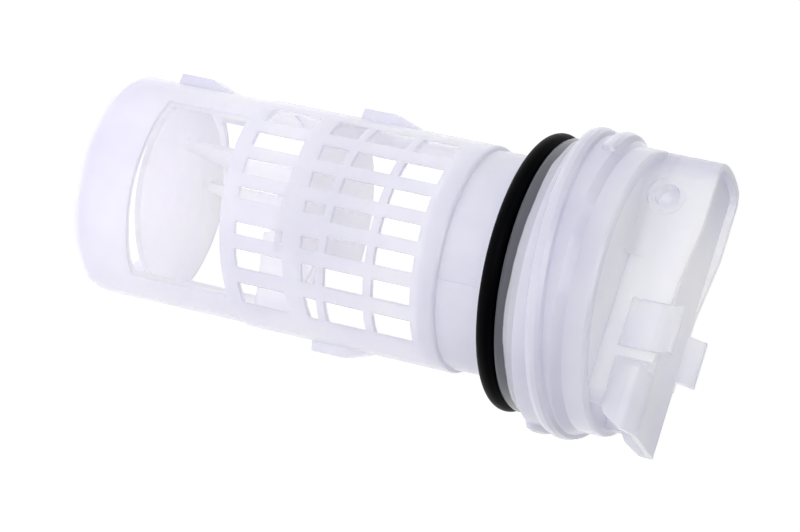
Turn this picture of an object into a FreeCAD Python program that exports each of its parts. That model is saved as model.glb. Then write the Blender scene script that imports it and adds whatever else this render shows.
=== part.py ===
import FreeCAD, Part
import math
import os

# The lint filter of a washing machine's drain pump. It stands on its end ring with its axis along +Z,
# and the finger grip is on top. The origin is on the axis, in the plane that the ring rests on.
# -Y is the side with the grid of windows, and the two rails are on -X and +X.
# All sizes are in millimetres and all angles are in degrees.

# Basket: the end ring and the rails
ring_step = 0.4
ring_height = 13.5
ring_wall = 1.5
ring_lip = 2.0
ring_edge_round = 2.2
rail_wall = 1.5
rail_half_angle = 37.0

# Basket: the round baffle behind the end ring
baffle_gap = 2.1
baffle_height = 14.4
baffle_thickness = 1.4
baffle_tilt = 4.0
baffle_dish = 1.6
baffle_foot_width = 9.0
baffle_foot_overlap = 1.2

# Basket: the strainer
basket_radius = 23.9
basket_wall = 1.3
basket_end = 34.6
basket_top = 83.6
basket_edge_round = 0.6
slant = 6.0
end_band = 3.1
first_windows = 10.9
slant_band = 4.1
second_windows_top = 57.3
third_windows_bottom = 59.0
third_windows_top = 67.9
fourth_windows_bottom = 69.7
fourth_windows_top = 78.3
grid_turn = -6.0
window_rows = 7
window_edge = 2.2
window_bar = 2.8
broad_rib = 4.8

# Basket: the opening towards the tub hose, the shelf across the bore and the fins under it
inlet_rim = 4.9
inlet_bottom = 40.0
inlet_corner = 4.0
shelf_height = 47.3
shelf_thickness = 1.4
shelf_reach = 7.3
web_foot = 29.0
fin_tip = 17.6
fin_thickness = 1.6
fin_slope = 19.0
near_fin_x = -11.3
near_fin_y = -10.0
near_fin_lean = 40.0
far_fin_x = -4.1
far_fin_y = 5.0
far_fin_lean = 20.0

# Basket: the guide tabs
tab_height = 2.0
tab_width = 4.0
tab_flat = 7.5
tab_ramp = 6.0
ring_tab_start = 8.6
basket_tab_start = 51.5

# Cap: the spigot, the seal groove and the collar
shell_wall = 1.7
fit_clearance = 0.1
spigot_depth = 4.6
neck_step = 0.8
seal_radius = 29.0
seal_section = 4.0
seal_sides = 10
seal_rise = 12.7
seal_clearance = 0.05
groove_lip = 0.6
groove_lip_width = 0.7
collar_radius = 28.5
collar_rim_radius = 29.5
collar_rim_height = 5.0
collar_rise = 22.0
floor_recess = 1.4
floor_thickness = 2.0
latch_width = 22.0
latch_rise = 0.3
latch_turn = 41.0

# Cap: the thread, with two starts
thread_depth = 3.3
thread_ridge_height = 1.2
thread_band_start = 5.0
thread_band_slope = 2.0
thread_lead = 10.4
thread_width = 5.0
thread_starts = 2
thread_rise = 7.9
thread_sweep = 215.0
thread_turn = 172.0

# Cap: the grip
grip_turn = -16.0
grip_thickness = 20.0
grip_wall = 1.5
grip_end_reach = 29.4
grip_end_round = 3.5
grip_height = 11.5
grip_split = 15.8
grip_foot_blend = 4.0
curb_height = 3.6
curb_reach = 26.4
lever_cutback = 1.5
boss_reach = 18.4
boss_lift = 2.8
boss_radius = 3.65
boss_rise = 0.35
boss_depth = 6.0
boss_pocket = 0.35
boss_hole_radius = 2.6
drain_bore_radius = 6.0
drain_collar_wall = 1.8
drain_collar_depth = 5.0

# Drain duct: the sliding insert of the grip
duct_clearance = 0.35
duct_wall = 1.3
duct_recess = 1.4
duct_reach = 30.2
duct_front_round = 5.0
duct_back_round = 1.1
duct_end_cut = 3.4
duct_end_rise = 7.0
seam_slot_width = 1.2
seam_slot_depth = 2.0
skirt_start = -11.0
plug_radius = 4.5
plug_groove = 0.7
plug_depth = 5.2
plug_seal_radius = 5.75
plug_seal_section = 1.9
plug_seal_sides = 6

# Drain duct: the two press levers
lever_reach = 8.7
lever_width = 9.8
lever_thickness = 1.5
lever_root_lift = 2.3
lever_height = 11.2
lever_flare_start = 6.2
lever_stand = 1.9
lever_edge_round = 0.4
lever_gap = 0.3

origin = FreeCAD.Vector(0, 0, 0)
along_x = FreeCAD.Vector(1, 0, 0)
along_y = FreeCAD.Vector(0, 1, 0)
along_z = FreeCAD.Vector(0, 0, 1)

basket_bore = basket_radius - basket_wall
ring_radius = basket_radius - ring_step
rail_radius = ring_radius
baffle_radius = ring_radius - ring_wall - baffle_gap
window_pitch = 2 * (basket_radius - window_edge) / window_rows
window_height = window_pitch - window_bar
neck_radius = basket_radius - neck_step
seal_height = basket_top + seal_rise
collar_top = seal_height + collar_rise
floor_top = collar_top - floor_recess
thread_first = seal_height + thread_rise
thread_radius = collar_radius + thread_depth
grip_top = collar_top + grip_height
boss_height = collar_top + boss_lift
lever_root = collar_top + lever_root_lift
lever_tip = lever_root + lever_height
overlap = 1.0
far = 2 * lever_tip


def point(x, y, z):
    """A point or direction in the part's own frame."""
    return FreeCAD.Vector(x, y, z)


def turned(shape, angle):
    """A copy of a shape turned about the part's axis."""
    copy = shape.copy()
    copy.rotate(origin, along_z, angle)
    return copy


def rod(radius, low, high, x=0.0, y=0.0):
    """A round bar along Z between two heights."""
    return Part.makeCylinder(radius, high - low, point(x, y, low))


def tube(outer, inner, low, high):
    """A straight tube on the axis between two heights."""
    return rod(outer, low, high).cut(rod(inner, low, high))


def block(x_low, x_high, y_low, y_high, z_low, z_high):
    """A box between two corners."""
    return Part.makeBox(x_high - x_low, y_high - y_low, z_high - z_low, point(x_low, y_low, z_low))


def face_of(points):
    """The flat face inside a closed run of points."""
    return Part.Face(Part.makePolygon(points + points[:1]))


def rounding(corner_x, corner_z, side_x, side_z, radius, steps=2):
    """The points of a rounded corner of an outline, from its X side to its Z side, drawn by a few flats."""
    points = []
    for step in range(steps + 1):
        angle = math.pi / 2 * step / steps
        points.append((corner_x + side_x * radius * (1 - math.cos(angle)),
                       corner_z + side_z * radius * (1 - math.sin(angle))))
    return points


def revolved(outline):
    """A solid turned about the axis from a closed outline of radii and heights."""
    face = face_of([point(radius, 0, height) for radius, height in outline])
    return face.revolve(origin, along_z, 360)


def prism_across(outline, y_low, y_high):
    """A solid between two Y planes from a closed outline of X and Z."""
    face = face_of([point(x, y_low, z) for x, z in outline])
    return face.extrude(point(0, y_high - y_low, 0))


def sector(half_angle, middle, low, high):
    """A wedge about the axis, wide enough to cut any wall of the part."""
    start = math.radians(middle - half_angle)
    stop = math.radians(middle + half_angle)
    centre = math.radians(middle)
    points = [
        point(0, 0, low),
        point(far * math.cos(start), far * math.sin(start), low),
        point(far * math.cos(centre), far * math.sin(centre), low),
        point(far * math.cos(stop), far * math.sin(stop), low),
    ]
    return face_of(points).extrude(point(0, 0, high - low))


def slab(low, low_slant, high, high_slant):
    """All that lies between two planes that lean towards +X, given by their heights on the axis."""
    low_rise = far * math.tan(math.radians(low_slant))
    high_rise = far * math.tan(math.radians(high_slant))
    outline = [
        (-far, low - low_rise),
        (far, low + low_rise),
        (far, high + high_rise),
        (-far, high - high_rise),
    ]
    return prism_across(outline, -far, far)


def upright_edges(shape, x, y, tolerance=0.01):
    """The straight edges along Z that pass through a place in plan."""
    found = []
    for edge in shape.Edges:
        ends = [vertex.Point for vertex in edge.Vertexes]
        if len(ends) < 2:
            continue
        if all(abs(end.x - x) < tolerance and abs(end.y - y) < tolerance for end in ends):
            found.append(edge)
    return found


def end_ring():
    """The ring that the filter stands on: a rounded foot and a small lip inside it."""
    bore = ring_radius - ring_wall
    foot = rounding(ring_radius, 0, -1, 1, ring_edge_round)
    return revolved([(bore - ring_lip, 0)] + foot[::-1] + [
        (ring_radius, ring_height),
        (bore, ring_height),
        (bore, ring_lip + ring_wall),
        (bore - ring_lip, ring_wall),
    ])


def rails():
    """The two strips of wall that carry the ring on the basket."""
    wall = tube(rail_radius, rail_radius - rail_wall, ring_height - overlap, basket_end + far)
    below_basket = slab(-far, 0, basket_end + end_band / 2, slant)
    wall = wall.common(below_basket)
    return [wall.common(sector(rail_half_angle, side, 0, far)) for side in (0, 180)]


def baffle():
    """The round baffle plate: slightly dished, tilted, and carried by a foot on each rail."""
    middle = baffle_radius / 3
    dish = revolved([
        (0, baffle_dish - baffle_thickness),
        (0, baffle_dish),
        (middle, baffle_dish - baffle_dish / 8),
        (2 * middle, baffle_dish / 2),
        (baffle_radius, 0),
        (baffle_radius, -baffle_thickness),
        (2 * middle, baffle_dish / 2 - baffle_thickness),
        (middle, baffle_dish - baffle_dish / 8 - baffle_thickness),
    ])
    foot_reach = rail_radius - rail_wall / 2
    foot = block(-foot_reach, foot_reach, -baffle_foot_width / 2, baffle_foot_width / 2,
                 -baffle_thickness, baffle_dish / 4)
    foot = foot.cut(rod(baffle_radius - baffle_foot_overlap, -far, far))
    solid = dish.fuse(foot)
    solid.rotate(origin, along_y, -baffle_tilt)
    solid.translate(point(0, 0, baffle_height))
    return solid


def window_bars():
    """One long bar for each row of windows, straight out towards -Y as the mould opens."""
    bars = []
    for row in range(window_rows):
        middle = (row - (window_rows - 1) / 2) * window_pitch
        low = middle - window_height / 2
        bars.append(block(low, low + window_height, -far, -basket_radius / 8, 0, far))
    return bars


def window_cutters():
    """The windows of all four columns. The first two columns follow the slanted end."""
    first_bottom = basket_end + end_band
    first_top = first_bottom + first_windows
    second_bottom = first_top + slant_band
    columns = [
        (slab(first_bottom, slant, first_top, slant), True),
        (slab(second_bottom, slant, second_windows_top, 0), True),
        (slab(third_windows_bottom, 0, third_windows_top, 0), False),
        (slab(fourth_windows_bottom, 0, fourth_windows_top, 0), False),
    ]
    rib_middle = window_pitch / 2
    rib = block(rib_middle - broad_rib / 2, rib_middle + broad_rib / 2, -far, far, 0, far)
    cutters = []
    for bar in window_bars():
        for column, has_broad_rib in columns:
            cutter = bar.common(column)
            if has_broad_rib:
                cutter = cutter.cut(rib)
            cutters.append(cutter)
    return [turned(cutter, grid_turn) for cutter in cutters]


def inlet_cutter():
    """The large opening on the +Y side, with rounded corners."""
    half = basket_radius - inlet_rim
    cutter = block(-half, half, 0, far, inlet_bottom, fourth_windows_top)
    corners = []
    for edge in cutter.Edges:
        ends = [vertex.Point for vertex in edge.Vertexes]
        if abs(ends[0].y - ends[1].y) > far / 2:
            corners.append(edge)
    return turned(cutter.makeFillet(inlet_corner, corners), grid_turn)


def strainer():
    """The cylinder of the basket with its slanted end, its windows and its inlet."""
    edge = rounding(basket_radius, basket_top, -1, -1, basket_edge_round)
    cylinder = revolved([(basket_bore, 0), (basket_radius, 0)] + edge + [(basket_bore, basket_top)])
    body = cylinder.common(slab(basket_end, slant, basket_top, 0))
    return body.cut(window_cutters() + [inlet_cutter()])


def shelf():
    """The plate across the bore, which stops short of the +X side, on its upright web."""
    low = shelf_height
    plate = rod(basket_bore + basket_wall / 2, low, low + shelf_thickness)
    plate = plate.cut(block(shelf_reach, far, -far, far, 0, far))
    web_outline = [
        (-fin_thickness, low + shelf_thickness / 2),
        (-fin_thickness, low - fin_thickness),
        (shelf_reach, web_foot),
        (basket_bore, web_foot),
        (basket_bore, basket_end + 3 * end_band),
        (shelf_reach, low + shelf_thickness / 2),
    ]
    web = prism_across(web_outline, -fin_thickness / 2, fin_thickness / 2)
    inside = rod(basket_bore + basket_wall / 2, 0, far)
    return [plate, web.common(inside).common(slab(basket_end, slant, far, 0))]


def fin(x, y, lean):
    """A pointed fin under the shelf: its straight edge runs along the axis, its other edge slopes."""
    length = shelf_height - fin_tip
    drop = length * math.tan(math.radians(fin_slope))
    high = shelf_height + shelf_thickness / 2
    outline = [
        (0, fin_tip),
        (fin_thickness, fin_tip),
        (fin_thickness + drop, high),
        (0, high),
    ]
    solid = prism_across(outline, -fin_thickness / 2, fin_thickness / 2)
    solid.rotate(origin, along_z, lean)
    solid.translate(point(x, y, 0))
    return solid


def guide_tab(radius, start, side):
    """A low tab on the outside: steep towards the ring, flat on top and ramped towards the grip."""
    foot = radius - rail_wall / 2
    crest = radius + tab_height
    outline = [
        (foot, start),
        (crest, start + tab_height / 4),
        (crest, start + tab_flat),
        (radius, start + tab_flat + tab_ramp),
        (foot, start + tab_flat + tab_ramp),
    ]
    return turned(prism_across(outline, -tab_width / 2, tab_width / 2), side)


def filter_basket():
    """The strainer moulding, from the end ring to the sleeve that sits on the cap's spigot."""
    pieces = rails() + [baffle(), strainer()] + shelf()
    pieces.append(fin(near_fin_x, near_fin_y, near_fin_lean))
    pieces.append(fin(far_fin_x, far_fin_y, far_fin_lean))
    pieces.append(guide_tab(ring_radius, ring_tab_start, 180))
    pieces.append(guide_tab(basket_radius, basket_tab_start, 180))
    pieces.append(guide_tab(basket_radius, basket_tab_start, 0))
    return end_ring().fuse(pieces).removeSplitter()


def cap_shell():
    """The cap without its thread and grip: spigot, neck, seal groove, collar and floor."""
    spigot_radius = basket_bore - fit_clearance
    spigot_bore = spigot_radius - shell_wall
    groove_radius = seal_radius - seal_section - seal_clearance
    groove_low = seal_height - seal_section / 2
    groove_high = seal_height + seal_section / 2 + seal_clearance
    lip_radius = groove_radius + groove_lip
    collar_bore = collar_radius - shell_wall
    band_radius = thread_radius - thread_ridge_height
    band_low = seal_height + thread_band_start
    rim_low = collar_top - collar_rim_height
    rim_bore = collar_rim_radius - shell_wall
    floor_low = floor_top - floor_thickness
    rim_round = rounding(collar_rim_radius, collar_top, -1, -1, shell_wall / 2)
    flank_round = rounding(collar_radius, groove_high, -1, 1, shell_wall / 2)
    return revolved([
        (spigot_bore, basket_top - spigot_depth),
        (spigot_radius - shell_wall / 3, basket_top - spigot_depth),
        (spigot_radius, basket_top - spigot_depth + shell_wall / 3),
        (spigot_radius, basket_top),
        (neck_radius, basket_top),
        (neck_radius, groove_low - 2 * groove_lip_width),
        (lip_radius, groove_low - groove_lip_width),
        (lip_radius, groove_low),
        (groove_radius, groove_low),
        (groove_radius, groove_high),
    ] + flank_round[::-1] + [
        (collar_radius, band_low),
        (band_radius, band_low + thread_band_slope),
        (band_radius, rim_low - thread_band_slope),
        (collar_rim_radius, rim_low),
    ] + rim_round + [
        (rim_bore, collar_top),
        (rim_bore, floor_top),
        (0, floor_top),
        (0, floor_low),
        (collar_bore, floor_low),
        (collar_bore, groove_high + shell_wall),
        (spigot_bore, groove_high + shell_wall),
    ])


def thread_outline(low_share):
    """The section of a thread ridge, a low rounded rib. Its upper half alone makes the domed ends."""
    half = thread_width / 2
    foot = thread_radius - 2 * thread_ridge_height
    shoulder = thread_radius - thread_ridge_height / 3
    upper = [(foot, half), (shoulder, half * 0.6), (thread_radius, half * 0.2)]
    lower = [(radius, -low_share * height) for radius, height in reversed(upper)]
    points = [point(radius, 0, height) for radius, height in upper + lower]
    return Part.makePolygon(points + points[:1])


def thread_ridge(start_angle):
    """One start of the thread: the section carried along a helix, with a domed end at each side."""
    rise = thread_lead * thread_sweep / 360
    path = Part.Wire(Part.makeHelix(thread_lead, rise, collar_radius).Edges)
    ridge = path.makePipeShell([thread_outline(1)], True, True)
    first_end = Part.Face(thread_outline(0)).revolve(origin, along_x, 360)
    last_end = turned(first_end, thread_sweep)
    last_end.translate(point(0, 0, rise))
    pieces = [ridge, first_end, last_end]
    for piece in pieces:
        piece.translate(point(0, 0, thread_first))
    return [turned(piece, start_angle) for piece in pieces]


def grip_plan(clearance, split):
    """The plan of the grip's closed end: straight sides, and a rounded end inside the collar's rim."""
    half = grip_thickness / 2 - clearance
    reach = grip_end_reach - clearance
    bar = block(-reach, split, -half, half, 0, 1)
    bar = bar.common(rod(reach, 0, 1).fuse(block(0, far, -half, half, 0, 1))).removeSplitter()
    edge_x = -math.sqrt(reach ** 2 - half ** 2)
    corners = upright_edges(bar, edge_x, -half) + upright_edges(bar, edge_x, half)
    bar = bar.makeFillet(max(grip_end_round - clearance, 1.0), corners)
    return bar


def stretched(plan, low, high):
    """A plan of unit height, taken between two heights."""
    bottom = min(plan.Faces, key=lambda face: face.CenterOfMass.z)
    solid = bottom.extrude(point(0, 0, high - low))
    solid.translate(point(0, 0, low))
    return solid


def lever_slot():
    """The notch in each wall of the grip that a lever slides in, open at the front."""
    half = lever_width / 2 + lever_gap
    return block(lever_reach - half, lever_reach + half, -far, far, lever_root - lever_gap, far)


def grip():
    """The fixed part of the grip: a wall round the closed end, with a notch for each lever."""
    outer = stretched(grip_plan(0, grip_split), floor_top - floor_thickness / 2, grip_top)
    inner = stretched(grip_plan(grip_wall, grip_split + overlap), floor_top - floor_thickness,
                      grip_top + overlap)
    shell = outer.cut(inner).cut(lever_slot())
    slope = lever_reach + lever_width / 2
    lowered = prism_across([
        (-slope, grip_top + overlap),
        (-slope, grip_top),
        (0, grip_top - lever_cutback),
        (far, grip_top - lever_cutback),
        (far, grip_top + overlap),
    ], -far, far)
    return shell.cut(lowered)


def foot_blends():
    """The hollow blends between the closed end's long walls and the floor, open round the socket's rim."""
    half = grip_thickness / 2
    low = floor_top - floor_thickness / 2
    high = floor_top + grip_foot_blend
    blends = []
    for side in (-1, 1):
        wall = side * (half - grip_wall / 2)
        outer = side * (half + grip_foot_blend)
        strip = block(-collar_rim_radius, -lever_width / 2, min(wall, outer), max(wall, outer), low, high)
        hollow = Part.makeCylinder(grip_foot_blend, 2 * collar_rim_radius,
                                   point(-collar_rim_radius, outer, high), along_x)
        blends.append(strip.cut(hollow).common(rod(collar_rim_radius - shell_wall / 2, low, far)))
    pocket = Part.makeCylinder(boss_radius + boss_pocket, far, point(-boss_reach, -far - half, boss_height),
                               along_y)
    return [blend.cut(pocket) for blend in blends]


def curbs():
    """The low walls on the floor that the open end of the duct stands on."""
    half = grip_thickness / 2
    low = floor_top - floor_thickness / 2
    high = floor_top + curb_height
    start = grip_split - overlap
    outer = block(start, curb_reach, -half, half, low, high)
    inner = block(start - overlap, curb_reach + overlap, -half + grip_wall, half - grip_wall,
                  low, high + overlap)
    return outer.cut(inner).common(rod(collar_rim_radius, low, high))


def boss():
    """The blind socket in the wall on the grid side, with its raised rim outside."""
    face = -grip_thickness / 2
    outside = face - boss_rise
    place = point(-boss_reach, outside, boss_height)
    return Part.makeCylinder(boss_radius, boss_depth + boss_rise, place, along_y)


def boss_socket():
    """The bore of the socket, with a cone at its blind end."""
    outside = -grip_thickness / 2 - 2 * boss_rise
    depth = boss_depth - grip_wall
    bore = Part.makeCylinder(boss_hole_radius, depth, point(-boss_reach, outside, boss_height), along_y)
    cone = Part.makeCone(boss_hole_radius, boss_hole_radius / 3, grip_wall / 2,
                         point(-boss_reach, outside + depth, boss_height), along_y)
    return bore.fuse(cone)


def latch_pad():
    """The flat pad on the neck, beside the basket's sleeve, that keys the cap to the basket."""
    high = seal_height - seal_section / 2 - groove_lip_width
    pad = tube(neck_radius + latch_rise, neck_radius - shell_wall / 2, basket_top + fit_clearance, high)
    half_angle = math.degrees(latch_width / (2 * neck_radius))
    return pad.common(sector(half_angle, -90 + latch_turn, 0, far))


def drain_collar():
    """The short tube under the floor that the duct's plug closes."""
    low = floor_top - floor_thickness - drain_collar_depth
    return rod(drain_bore_radius + drain_collar_wall, low, floor_top - floor_thickness / 2)


def threaded_cap():
    """The cap moulding: spigot, seal groove, threaded collar, floor and grip."""
    ridges = []
    for start in range(thread_starts):
        ridges += thread_ridge(thread_turn + 360 / thread_starts * start)
    handle = [turned(piece, grip_turn) for piece in [grip(), boss(), curbs()] + foot_blends()]
    body = cap_shell().fuse(ridges + handle + [latch_pad(), drain_collar()])
    bore = rod(drain_bore_radius, floor_top - floor_thickness - 2 * drain_collar_depth, floor_top + overlap)
    return body.cut([turned(boss_socket(), grip_turn), bore])


def ring_seal(radius, section, height, sides):
    """A ring seal of a given outer radius, with a round section drawn by a number of flats."""
    middle = radius - section / 2
    outline = []
    for side in range(sides):
        angle = 2 * math.pi * side / sides
        outline.append((middle + section / 2 * math.cos(angle), height + section / 2 * math.sin(angle)))
    return revolved(outline)


def seal():
    """The ring seal in the groove of the cap."""
    return ring_seal(seal_radius, seal_section, seal_height, seal_sides)


def duct_hood():
    """The open end of the duct, flush with the grip: a hood with a well rounded edge on the grid side."""
    half = grip_thickness / 2
    low = floor_top + curb_height + duct_clearance
    high = grip_top - duct_recess
    start = grip_split + duct_clearance
    outer = block(start, duct_reach, -half, half, low, high)
    inner = block(start - overlap, duct_reach + overlap, -half + duct_wall, half - duct_wall,
                  low - overlap, high - duct_wall)
    rounds = []
    for edge in outer.Edges:
        ends = [vertex.Point for vertex in edge.Vertexes]
        if abs(ends[0].x - ends[1].x) > 1 and ends[0].z > high - 0.01:
            rounds.append((edge, duct_front_round if ends[0].y < 0 else duct_back_round))
    for edge, radius in rounds:
        outer = outer.makeFillet(radius, [find_like(outer, edge)])
    inner_rounds = []
    for edge in inner.Edges:
        ends = [vertex.Point for vertex in edge.Vertexes]
        if abs(ends[0].x - ends[1].x) > 1 and ends[0].z > high - duct_wall - 0.01 and ends[0].y < 0:
            inner_rounds.append(edge)
    inner = inner.makeFillet(duct_front_round - duct_wall, inner_rounds)
    hood = outer.cut(inner)
    end_outline = [
        (duct_reach - duct_end_cut, collar_top),
        (duct_reach - duct_end_cut, low),
        (duct_reach - duct_end_cut * 0.6, collar_top + duct_end_rise * 0.5),
        (duct_reach, collar_top + duct_end_rise),
        (duct_reach + overlap, collar_top + duct_end_rise),
        (duct_reach + overlap, collar_top),
    ]
    return hood.cut(prism_across(end_outline, -far, far))


def seam_slot():
    """The sunk slot beside the seam between the hood and the fixed grip, round at its upper end."""
    start = grip_split
    stop = start + duct_clearance + seam_slot_width
    outside = -grip_thickness / 2 - overlap
    floor = -grip_thickness / 2 + seam_slot_depth
    radius = (stop - start) / 2
    high = grip_top - duct_recess - duct_front_round / 2
    slot = block(start, stop, outside, floor, floor_top, high - radius)
    end = Part.makeCylinder(radius, floor - outside, point(start + radius, outside, high - radius), along_y)
    return slot.fuse(end)


def find_like(shape, edge):
    """The edge of a shape with the same middle as a given edge."""
    middle = edge.CenterOfMass
    return min(shape.Edges, key=lambda other: other.CenterOfMass.distanceToPoint(middle))


def duct_plate():
    """The front plate of the duct, inside the grip's wall, with a skirt along each wall."""
    gap = grip_wall + duct_clearance
    high = grip_top - duct_recess
    start = grip_split + duct_clearance
    plate = stretched(grip_plan(gap, start + duct_wall), high - duct_wall, high)
    half = grip_thickness / 2 - gap
    low = floor_top + duct_clearance
    skirts = [
        block(skirt_start, start + duct_wall, side * half - (duct_wall if side > 0 else 0),
              side * half + (0 if side > 0 else duct_wall), low, high - duct_wall / 2)
        for side in (-1, 1)
    ]
    jamb_low = low + curb_height
    jamb = block(start, start + duct_wall, -grip_thickness / 2, grip_thickness / 2,
                 jamb_low, high - duct_front_round)
    jamb = jamb.cut(block(start - overlap, start + far, -half + duct_wall, half - duct_wall,
                          jamb_low - overlap, high))
    return [plate, jamb] + skirts


def lever(side):
    """A press lever: a tongue on the skirt that fills the notch, and flares out to a tip for the finger."""
    skin = grip_thickness / 2
    inner = skin - grip_wall - duct_clearance - duct_wall / 2
    tip_out = skin + lever_stand
    flare = lever_root + lever_flare_start
    flare_height = lever_tip - flare
    outline = [
        (inner, lever_root),
        (skin, lever_root),
        (skin, flare),
        (skin + lever_stand * 0.12, flare + flare_height * 0.3),
        (skin + lever_stand * 0.45, flare + flare_height * 0.6),
        (tip_out, flare + flare_height * 0.85),
        (tip_out, lever_tip - lever_edge_round),
        (tip_out - lever_edge_round, lever_tip),
        (tip_out - lever_thickness, lever_tip),
        (tip_out - lever_thickness, flare + flare_height * 0.9),
        (skin - lever_thickness, flare + flare_height * 0.45),
        (inner, flare + flare_height * 0.2),
    ]
    start = lever_reach - lever_width / 2
    face = face_of([point(start, side * y, z) for y, z in outline])
    return face.extrude(point(lever_width, 0, 0))


def plug():
    """The plug on the duct that closes the bore in the floor, with a groove for its seal."""
    low = floor_top - floor_thickness - plug_depth
    high = grip_top - duct_recess - duct_wall / 2
    stem = rod(plug_radius, low, high)
    groove_radius = plug_radius - plug_groove
    groove_middle = low + plug_seal_section
    half_width = plug_seal_section / 2 + seal_clearance
    groove = tube(plug_radius + overlap, groove_radius,
                  groove_middle - half_width, groove_middle + half_width)
    return stem.cut(groove)


def drain_duct():
    """The sliding duct: plate, hood, skirts, levers and plug in one moulding."""
    plate, jamb, *skirts = duct_plate()
    body = plate.fuse([jamb, duct_hood()] + skirts).cut(seam_slot())
    return turned(body.fuse([lever(-1), lever(1), plug()]).removeSplitter(), grip_turn)


def plug_seal():
    """The small ring seal on the duct's plug."""
    middle = floor_top - floor_thickness - plug_depth + plug_seal_section
    return ring_seal(plug_seal_radius, plug_seal_section, middle, plug_seal_sides)


nodes = {
    "filter_basket": filter_basket,
    "threaded_cap": threaded_cap,
    "cap_seal": seal,
    "drain_duct": drain_duct,
    "plug_seal": plug_seal,
}

os.makedirs("parts", exist_ok=True)
for name, make in nodes.items():
    shape = make()
    solids = shape.Solids
    box = shape.BoundBox
    print(name, "solids", len(solids), "valid", shape.isValid(), "volume", round(shape.Volume, 1),
          "z", round(box.ZMin, 2), round(box.ZMax, 2), "x", round(box.XMin, 2), round(box.XMax, 2))
    shape.exportStep(os.path.join("parts", name + ".step"))
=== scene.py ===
import math

import bpy
import numpy as np
from mathutils import Matrix, Vector


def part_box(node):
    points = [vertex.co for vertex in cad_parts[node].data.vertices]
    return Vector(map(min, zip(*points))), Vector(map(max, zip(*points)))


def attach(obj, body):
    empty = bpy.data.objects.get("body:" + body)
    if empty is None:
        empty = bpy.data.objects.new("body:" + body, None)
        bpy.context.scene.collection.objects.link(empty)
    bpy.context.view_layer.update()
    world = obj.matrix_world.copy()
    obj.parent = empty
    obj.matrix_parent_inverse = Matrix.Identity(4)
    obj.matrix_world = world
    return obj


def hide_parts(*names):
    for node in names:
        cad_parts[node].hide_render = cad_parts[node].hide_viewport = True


bl_info = {
    "name": "Lint filter dresser",
    "version": (1, 0, 0),
    "blender": (4, 5, 0),
    "location": "3D view > Sidebar > Filter",
    "description": "Dresses the drain filter of a washing machine: milky mouldings, black seals and a studio",
    "category": "Object",
}

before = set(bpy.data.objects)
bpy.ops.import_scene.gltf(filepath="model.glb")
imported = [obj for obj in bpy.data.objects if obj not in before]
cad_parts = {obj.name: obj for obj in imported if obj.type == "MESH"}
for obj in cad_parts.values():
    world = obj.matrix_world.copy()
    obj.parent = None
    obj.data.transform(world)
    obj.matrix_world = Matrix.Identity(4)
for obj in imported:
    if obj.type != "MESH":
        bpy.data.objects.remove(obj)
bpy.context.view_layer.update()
MM = 0.001

# Patterns on the plastic and the rubber, in cells to a metre.
CLOUDS = 45.0
GLOSS_PATCHES = 160.0
SINK_MARKS = 90.0
SKIN_GRAIN = 900.0
RUBBER_CLOUDS = 300.0
RUBBER_GLOSS = 500.0
RUBBER_GRAIN = 1500.0

# Borders of the seal's shadow: how far the upper one waves, and how soft the upper and the lower one are.
WAVE = 1.3 * MM
UPPER_SOFT = 0.1 * MM
LOWER_SOFT = 0.05 * MM

# The plastic: how far red, green and blue light go in, how clear it is, and its glossy coat.
LIGHT_REACH = (1.0, 0.97, 1.08)
CLEARNESS = 0.42
COAT_WEIGHT = 0.6
COAT_ROUGHNESS = 0.09
PLASTIC_IOR = 1.45
RUBBER_SPECULAR = 0.03

# Where each painted shade lies, in millimetres: the distances from the axis between which it comes in, the height
# of its foot, and how far above the foot it fades away. Distances beyond a piece, or a foot below it, leave that
# half of
# the shade out: the basket's wall and the duct go by distance alone, and the end ring by height alone.
BASKET_WALL = (22.3, 23.5, -5.0, 1.0)
END_RING = (80.0, 90.0, 4.0, 11.0)
DUCT_WALL = (6.0, 26.0, 90.0, 1.0)
CAP_WALL = (24.5, 27.5, 115.5, 2.0)

# The studio, in metres: the place, the aim and the size of each lamp, and half the floor.
KEY_LAMP = ((-0.12, -0.56, 0.36), (0, 0, 0.07), 0.4)
RIM_LAMP = ((-0.32, -0.2, 0.3), (0, 0, 0.1), 0.045)
HALF_FLOOR = 3.0
# The sky goes from its front to its back strength as a direction's Y goes from minus to plus this value.
SKY_TURN = 0.7


class StudioSettings(bpy.types.PropertyGroup):
    """Where the camera stands and how bright the studio is."""

    camera_spot: bpy.props.FloatVectorProperty(
        name="Camera place", description="Place of the camera in the filter's own frame",
        default=(0.0047, -0.5995, 0.3), size=3, subtype="TRANSLATION", unit="LENGTH")
    camera_tilt: bpy.props.FloatProperty(
        name="Camera tilt", description="How far the camera looks down",
        default=math.radians(21.28), subtype="ANGLE")
    camera_roll: bpy.props.FloatProperty(
        name="Camera roll", description="Turn of the camera about its line of sight",
        default=math.radians(102.48), subtype="ANGLE")
    lens: bpy.props.FloatProperty(
        name="Lens", description="Focal length for a 36 mm wide sensor, in millimetres", default=139.5)
    front_sky: bpy.props.FloatProperty(
        name="Front sky", description="Strength of the soft white light from the side of the camera",
        default=0.33, min=0)
    back_sky: bpy.props.FloatProperty(
        name="Back sky", description="Strength of the soft white light from behind the filter",
        default=0.62, min=0)
    key: bpy.props.FloatProperty(
        name="Key light", description="Power of the large soft lamp, in watts", default=1.08, min=0)
    rim: bpy.props.FloatProperty(
        name="Rim light", description="Power of the narrow lamp that draws the wet lights, in watts",
        default=0.09, min=0)
    floor_colour: bpy.props.FloatVectorProperty(
        name="Floor colour", description="Colour of the pale floor",
        default=(0.95, 0.95, 0.96), size=3, subtype="COLOR", min=0, max=1)
    floor_glow: bpy.props.FloatProperty(
        name="Floor glow", description="How much the floor shines, as a light table does", default=0.54, min=0)


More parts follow.
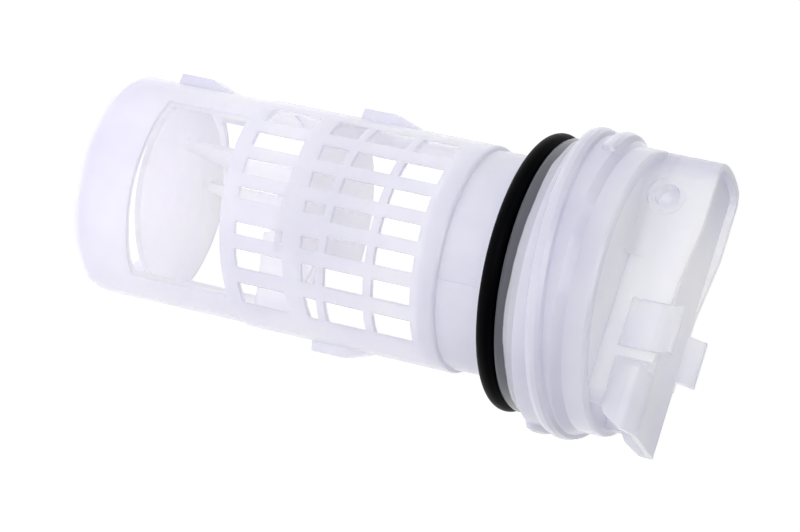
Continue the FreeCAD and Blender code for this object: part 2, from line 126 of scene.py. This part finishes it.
class MouldingSettings(bpy.types.PropertyGroup):
    """The milky plastic of the basket, the cap and the drain duct."""

    basket_colour: bpy.props.FloatVectorProperty(
        name="Basket colour", description="Colour of the basket's plastic inside the outer wall",
        default=(0.965, 0.95, 1.0), size=3, subtype="COLOR", min=0, max=1)
    # Painted shade: darkens the basket's outer wall for the dimmer light that falls on it, so the plates inside
    # stay lighter.
    basket_wall_shade: bpy.props.FloatVectorProperty(
        name="Basket wall tint", description="Tint of the basket's thin outer wall",
        default=(0.8, 0.8, 0.875), size=3, subtype="COLOR", min=0, max=1)
    ring_tint: bpy.props.FloatVectorProperty(
        name="End ring tint", description="Tint that makes up for the glowing floor's light on the end ring",
        default=(0.92, 0.92, 0.925), size=3, subtype="COLOR", min=0, max=1)
    cap_colour: bpy.props.FloatVectorProperty(
        name="Cap colour", description="Colour of the cap's and the duct's plastic inside the outer wall",
        default=(0.96, 0.955, 1.0), size=3, subtype="COLOR", min=0, max=1)
    # Painted shade: darkens the outer wall of the cap and the duct, and the cap below the grip, for the dimmer
    # light there, so the grip's recesses stay lighter.
    cap_wall_shade: bpy.props.FloatVectorProperty(
        name="Cap wall tint", description="Tint of the thin outer wall of the cap and the duct",
        default=(0.755, 0.755, 0.815), size=3, subtype="COLOR", min=0, max=1)
    shine: bpy.props.FloatProperty(
        name="Roughness", description="Roughness of the moulded skin", default=0.36, min=0, max=1)
    depth: bpy.props.FloatProperty(
        name="Light depth", description="How far light goes into the plastic", default=0.007,
        min=0, unit="LENGTH")
    # Painted glow: the plastic shines by itself in its own colour, standing for light carried into the recesses.
    painted_glow: bpy.props.FloatProperty(
        name="Held light", description="Emission that stands for light carried into the recesses",
        default=0.12, min=0)


class SealSettings(bpy.types.PropertyGroup):
    """The two ring seals and their black rubber."""

    section: bpy.props.FloatProperty(
        name="Cap seal section", description="Diameter of the round section of the cap's seal",
        default=3.94 * MM, unit="LENGTH")
    plug_section: bpy.props.FloatProperty(
        name="Plug seal section", description="Diameter of the round section of the plug's small seal",
        default=1.86 * MM, unit="LENGTH")
    shadow_low: bpy.props.FloatProperty(
        name="Shadow start", description="Height where the black seal starts to show through the collar",
        default=98.2 * MM, unit="LENGTH")
    shadow_high: bpy.props.FloatProperty(
        name="Shadow end", description="Mean height where the seal no longer shows through the collar",
        default=100.7 * MM, unit="LENGTH")
    shadow_colour: bpy.props.FloatVectorProperty(
        name="Shadow colour", description="Colour of the collar's edge where the black seal shows through",
        default=(0.055, 0.057, 0.075), size=3, subtype="COLOR", min=0, max=1)
    rubber_colour: bpy.props.FloatVectorProperty(
        name="Rubber colour", description="Main colour of the rubber",
        default=(0.0005, 0.0006, 0.0012), size=3, subtype="COLOR", min=0, max=1)


def settings():
    """The three groups of settings, kept on the scene."""
    scene = bpy.context.scene
    return scene.filter_studio, scene.filter_moulding, scene.filter_seals


def new_material(name):
    """A node material, its tree and its shader."""
    material = bpy.data.materials.new(name)
    material.use_nodes = True
    tree = material.node_tree
    shader = tree.nodes["Principled BSDF"]
    return material, tree, shader


def noise(tree, scale, detail=2.0):
    """A noise pattern in the filter's own coordinates, with its scale in cells to a metre."""
    coordinates = tree.nodes.new("ShaderNodeTexCoord")
    texture = tree.nodes.new("ShaderNodeTexNoise")
    texture.inputs["Scale"].default_value = scale
    texture.inputs["Detail"].default_value = detail
    tree.links.new(coordinates.outputs["Object"], texture.inputs["Vector"])
    return texture.outputs["Fac"]


def ramp(tree, source, stops):
    """A colour ramp over a pattern, from stops of place and colour."""
    node = tree.nodes.new("ShaderNodeValToRGB")
    tree.links.new(source, node.inputs["Fac"])
    elements = node.color_ramp.elements
    while len(elements) < len(stops):
        elements.new(0.5)
    for element, (place, colour) in zip(elements, stops):
        element.position = place
        element.color = tuple(colour) + (1.0,)
    return node.outputs["Color"]


def spread(tree, source, low, high):
    """A pattern spread between two values."""
    node = tree.nodes.new("ShaderNodeMapRange")
    node.inputs["To Min"].default_value = low
    node.inputs["To Max"].default_value = high
    tree.links.new(source, node.inputs["Value"])
    return node.outputs["Result"]


def bumps(tree, patterns):
    """Bump nodes one after another, from rows of pattern, height in metres and strength."""
    normal = None
    for source, height, strength in patterns:
        node = tree.nodes.new("ShaderNodeBump")
        node.inputs["Distance"].default_value = height
        node.inputs["Strength"].default_value = strength
        tree.links.new(source, node.inputs["Height"])
        if normal is not None:
            tree.links.new(normal, node.inputs["Normal"])
        normal = node.outputs["Normal"]
    return normal


def place_along(tree, axis, coordinates="Object"):
    """The place of a point along one axis: on the filter in metres, in the sky a direction from -1 to 1."""
    source = tree.nodes.new("ShaderNodeTexCoord")
    split = tree.nodes.new("ShaderNodeSeparateXYZ")
    tree.links.new(source.outputs[coordinates], split.inputs["Vector"])
    return split.outputs[axis]


def sum_of(tree, first, second):
    """The sum of two values."""
    node = tree.nodes.new("ShaderNodeMath")
    node.operation = "ADD"
    tree.links.new(first, node.inputs[0])
    tree.links.new(second, node.inputs[1])
    return node.outputs["Value"]


def rise_between(tree, source, low, high):
    """A value that goes from 0 to 1 as the source goes from low to high."""
    node = tree.nodes.new("ShaderNodeMapRange")
    node.inputs["From Min"].default_value = low
    node.inputs["From Max"].default_value = high
    tree.links.new(source, node.inputs["Value"])
    return node.outputs["Result"]


def blend_colours(tree, amount, first, second):
    """A mix of two colours by an amount from 0 to 1."""
    node = tree.nodes.new("ShaderNodeMix")
    node.data_type = "RGBA"
    tree.links.new(amount, node.inputs["Factor"])
    for socket, colour in ((node.inputs[6], first), (node.inputs[7], second)):
        if isinstance(colour, tuple):
            socket.default_value = colour + (1.0,)
        else:
            tree.links.new(colour, socket)
    return node.outputs[2]


def product(tree, first, second):
    """The product of two colours."""
    node = tree.nodes.new("ShaderNodeMix")
    node.data_type = "RGBA"
    node.blend_type = "MULTIPLY"
    node.inputs["Factor"].default_value = 1.0
    tree.links.new(first, node.inputs[6])
    tree.links.new(second, node.inputs[7])
    return node.outputs[2]


def colour_of(shader):
    """The colour that feeds a shader."""
    return shader.inputs["Base Color"].links[0].from_socket


def paint(tree, shader, colour):
    """Feeds a colour to the shader's skin and to its painted glow, which shines in the same colour."""
    tree.links.new(colour, shader.inputs["Base Color"])
    tree.links.new(colour, shader.inputs["Emission Color"])


def add_painted_shade(tree, shader, tint, start, end, foot, fade):
    """Paints shade into the plastic: darkens its colour by the tint. The tint comes in from the start to the end,
    which are distances from the axis. Below the foot it is everywhere, and it fades away above that."""
    source = tree.nodes.new("ShaderNodeTexCoord")
    flat = tree.nodes.new("ShaderNodeVectorMath")
    flat.operation = "MULTIPLY"
    flat.inputs[1].default_value = (1.0, 1.0, 0.0)
    tree.links.new(source.outputs["Object"], flat.inputs[0])
    length = tree.nodes.new("ShaderNodeVectorMath")
    length.operation = "LENGTH"
    tree.links.new(flat.outputs["Vector"], length.inputs[0])
    below = rise_between(tree, place_along(tree, "Z"), foot + fade, foot)
    amount = sum_of(tree, rise_between(tree, length.outputs["Value"], start, end), below)
    shade = blend_colours(tree, amount, (1.0, 1.0, 1.0), tuple(tint))
    paint(tree, shader, product(tree, colour_of(shader), shade))


def add_seal_shadow(tree, shader, low, high, colour):
    """Darkens the edge of the collar, where the black seal behind it shows through, with a wavy border."""
    plain = colour_of(shader)
    waves = spread(tree, noise(tree, CLOUDS, 4.0), -WAVE, WAVE)
    height = sum_of(tree, place_along(tree, "Z"), waves)
    amount = rise_between(tree, height, high - UPPER_SOFT, high + UPPER_SOFT)
    clear_below = rise_between(tree, place_along(tree, "Z"), low - LOWER_SOFT, low)
    shaded = blend_colours(tree, amount, tuple(colour), plain)
    paint(tree, shader, blend_colours(tree, clear_below, plain, shaded))


def milky_plastic(name, colour, roughness, depth, painted_glow):
    """Milky polypropylene: cloudy colour, light that goes into the wall, a painted glow that stands for light
    carried into the recesses, and a skin with faint sink marks.
    """
    material, tree, shader = new_material(name)
    colour = np.array(colour)
    stops = [
        (0.3, colour * (0.92, 0.92, 0.94)),
        (0.55, colour),
        (0.72, np.minimum(colour * 1.05, 1.0)),
    ]
    paint(tree, shader, ramp(tree, noise(tree, CLOUDS, 3.0), stops))
    patches = noise(tree, GLOSS_PATCHES)
    tree.links.new(spread(tree, patches, roughness - 0.08, roughness + 0.1), shader.inputs["Roughness"])
    shader.inputs["Subsurface Weight"].default_value = 1.0
    shader.inputs["Subsurface Radius"].default_value = LIGHT_REACH
    shader.inputs["Subsurface Scale"].default_value = depth
    shader.inputs["Transmission Weight"].default_value = CLEARNESS
    shader.inputs["Coat Weight"].default_value = COAT_WEIGHT
    shader.inputs["Coat Roughness"].default_value = COAT_ROUGHNESS
    shader.inputs["IOR"].default_value = PLASTIC_IOR
    # Painted glow: emission in the plastic's own colour, standing for light carried into the recesses.
    shader.inputs["Emission Strength"].default_value = painted_glow
    normal = bumps(tree, [(noise(tree, SINK_MARKS), 0.6 * MM, 0.25), (noise(tree, SKIN_GRAIN), 0.06 * MM, 0.3)])
    tree.links.new(normal, shader.inputs["Normal"])
    return material


def seal_rubber(name, colour):
    """Black rubber: nearly no colour, a soft sheen and a fine grain."""
    material, tree, shader = new_material(name)
    colour = np.array(colour)
    stops = [(0.3, colour * 0.8), (0.7, colour * 1.4)]
    tree.links.new(ramp(tree, noise(tree, RUBBER_CLOUDS, 3.0), stops), shader.inputs["Base Color"])
    tree.links.new(spread(tree, noise(tree, RUBBER_GLOSS, 3.0), 0.3, 0.5), shader.inputs["Roughness"])
    shader.inputs["Specular IOR Level"].default_value = RUBBER_SPECULAR
    normal = bumps(tree, [(noise(tree, RUBBER_GRAIN, 3.0), 0.04 * MM, 0.35)])
    tree.links.new(normal, shader.inputs["Normal"])
    return material


def dress(node, material):
    """Puts a material on a CAD node in place of its packed one."""
    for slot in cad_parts[node].material_slots:
        slot.material = material


class FILTER_OT_mouldings(bpy.types.Operator):
    """Gives the basket, the cap and the drain duct their milky plastic"""

    bl_idname = "filter.mouldings"
    bl_label = "Milky mouldings"

    def execute(self, context):
        _, moulding, seals = settings()
        finish = (moulding.shine, moulding.depth, moulding.painted_glow)
        kinds = [
            ("filter_basket", moulding.basket_colour,
             [(moulding.basket_wall_shade, BASKET_WALL), (moulding.ring_tint, END_RING)]),
            ("drain_duct", moulding.cap_colour, [(moulding.cap_wall_shade, DUCT_WALL)]),
            ("threaded_cap", moulding.cap_colour, [(moulding.cap_wall_shade, CAP_WALL)]),
        ]
        for node, colour, painted_shades in kinds:
            material = milky_plastic(node + " milk plastic", colour, *finish)
            tree = material.node_tree
            shader = tree.nodes["Principled BSDF"]
            # Painted shade on the outer walls, and on the end ring for the glowing floor's light.
            for tint, places in painted_shades:
                add_painted_shade(tree, shader, tint, *(place * MM for place in places))
            if node == "threaded_cap":
                add_seal_shadow(tree, shader, seals.shadow_low, seals.shadow_high, seals.shadow_colour)
            dress(node, material)
        return {"FINISHED"}


def ring_surface(name, outer_radius, section, height, around, across):
    """A ring with a round section. A point at the angle a round the axis and b round the section lies at
    the radius R + r cos b and the height h + r sin b, where r is half the section and R + r is the outer
    radius."""
    half = section / 2
    middle = outer_radius - half
    turn = np.linspace(0.0, 2 * math.pi, around, endpoint=False)[:, None]
    roll = np.linspace(0.0, 2 * math.pi, across, endpoint=False)[None, :]
    radius = middle + half * np.cos(roll)
    points = np.stack([radius * np.cos(turn), radius * np.sin(turn),
                       height + half * np.sin(roll) + 0.0 * turn], axis=-1)
    index = np.arange(around * across).reshape(around, across)
    ahead = np.roll(index, -1, axis=0)
    faces = np.stack([index, ahead, np.roll(ahead, -1, axis=1), np.roll(index, -1, axis=1)], axis=-1)
    mesh = bpy.data.meshes.new(name)
    mesh.from_pydata(points.reshape(-1, 3).tolist(), [], faces.reshape(-1, 4).tolist())
    mesh.shade_smooth()
    piece = bpy.data.objects.new(name, mesh)
    bpy.context.scene.collection.objects.link(piece)
    return piece


class FILTER_OT_seals(bpy.types.Operator):
    """Makes the two ring seals with a smooth round section, of black rubber"""

    bl_idname = "filter.seals"
    bl_label = "Ring seals"

    def execute(self, context):
        _, _, seals = settings()
        rubber = seal_rubber("seal rubber", seals.rubber_colour)
        rings = [
            ("cap_seal", "cap_ring_seal", "housing", seals.section, 256, 40),
            ("plug_seal", "plug_ring_seal", "duct", seals.plug_section, 96, 24),
        ]
        for node, name, body, section, around, across in rings:
            low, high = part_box(node)
            ring = ring_surface(name, high[0], section, (low[2] + high[2]) / 2, around, across)
            ring.data.materials.append(rubber)
            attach(ring, body)
            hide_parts(node)
        return {"FINISHED"}


def add_lamp(name, place, aim, size, power):
    """A square soft lamp at a place, turned towards a point."""
    data = bpy.data.lights.new(name, "AREA")
    data.shape = "SQUARE"
    data.size = size
    data.energy = power
    lamp = bpy.data.objects.new(name, data)
    lamp.location = place
    lamp.rotation_euler = (Vector(aim) - Vector(place)).to_track_quat("-Z", "Y").to_euler()
    bpy.context.scene.collection.objects.link(lamp)


class FILTER_OT_studio(bpy.types.Operator):
    """Sets up the pale floor, the soft light and the camera"""

    bl_idname = "filter.studio"
    bl_label = "Studio"

    def execute(self, context):
        studio, _, _ = settings()
        scene = context.scene
        scene.view_settings.view_transform = "Standard"
        world = bpy.data.worlds.new("studio sky")
        world.use_nodes = True
        background = world.node_tree.nodes["Background"]
        background.inputs["Color"].default_value = (1.0, 1.0, 1.0, 1.0)
        sky = rise_between(world.node_tree, place_along(world.node_tree, "Y", "Generated"), -SKY_TURN, SKY_TURN)
        strength = spread(world.node_tree, sky, studio.front_sky, studio.back_sky)
        world.node_tree.links.new(strength, background.inputs["Strength"])
        scene.world = world

        half = HALF_FLOOR
        mesh = bpy.data.meshes.new("studio_floor")
        corners = [(-half, -half, 0.0), (half, -half, 0.0), (half, half, 0.0), (-half, half, 0.0)]
        mesh.from_pydata(corners, [], [(0, 1, 2, 3)])
        floor = bpy.data.objects.new("studio_floor", mesh)
        scene.collection.objects.link(floor)
        material, tree, shader = new_material("pale floor")
        shader.inputs["Base Color"].default_value = tuple(studio.floor_colour) + (1.0,)
        shader.inputs["Roughness"].default_value = 0.9
        shader.inputs["Emission Color"].default_value = (1.0, 1.0, 1.0, 1.0)
        shader.inputs["Emission Strength"].default_value = studio.floor_glow
        mesh.materials.append(material)

        add_lamp("key lamp", *KEY_LAMP, studio.key)
        add_lamp("rim lamp", *RIM_LAMP, studio.rim)

        camera_data = bpy.data.cameras.new("photo camera")
        camera_data.lens = studio.lens
        camera_data.sensor_width = 36.0
        camera_data.clip_start = 0.01
        camera = bpy.data.objects.new("photo camera", camera_data)
        sight = Matrix.Rotation(math.pi / 2 - studio.camera_tilt, 4, "X")
        roll = Matrix.Rotation(studio.camera_roll, 4, "Z")
        camera.matrix_world = Matrix.Translation(Vector(studio.camera_spot)) @ sight @ roll
        scene.collection.objects.link(camera)
        scene.camera = camera
        return {"FINISHED"}


class FILTER_PT_panel(bpy.types.Panel):
    """Lists the filter's pieces and the studio"""

    bl_idname = "FILTER_PT_panel"
    bl_label = "Lint filter"
    bl_space_type = "VIEW_3D"
    bl_region_type = "UI"
    bl_category = "Filter"

    def draw(self, context):
        for step in STEPS:
            self.layout.operator(step.bl_idname)
        for group in settings():
            for name in group.bl_rna.properties.keys():
                if name not in ("name", "rna_type"):
                    self.layout.prop(group, name)


STEPS = [FILTER_OT_mouldings, FILTER_OT_seals, FILTER_OT_studio]
GROUPS = {
    "filter_studio": StudioSettings,
    "filter_moulding": MouldingSettings,
    "filter_seals": SealSettings,
}


def register():
    for name, group in GROUPS.items():
        bpy.utils.register_class(group)
        setattr(bpy.types.Scene, name, bpy.props.PointerProperty(type=group))
    for step in STEPS + [FILTER_PT_panel]:
        bpy.utils.register_class(step)


def unregister():
    for step in reversed(STEPS + [FILTER_PT_panel]):
        bpy.utils.unregister_class(step)
    for name, group in GROUPS.items():
        delattr(bpy.types.Scene, name)
        bpy.utils.unregister_class(group)


def main():
    register()
    for step in STEPS:
        group, name = step.bl_idname.split(".")
        getattr(getattr(bpy.ops, group), name)()


if __name__ == "__main__":
    main()
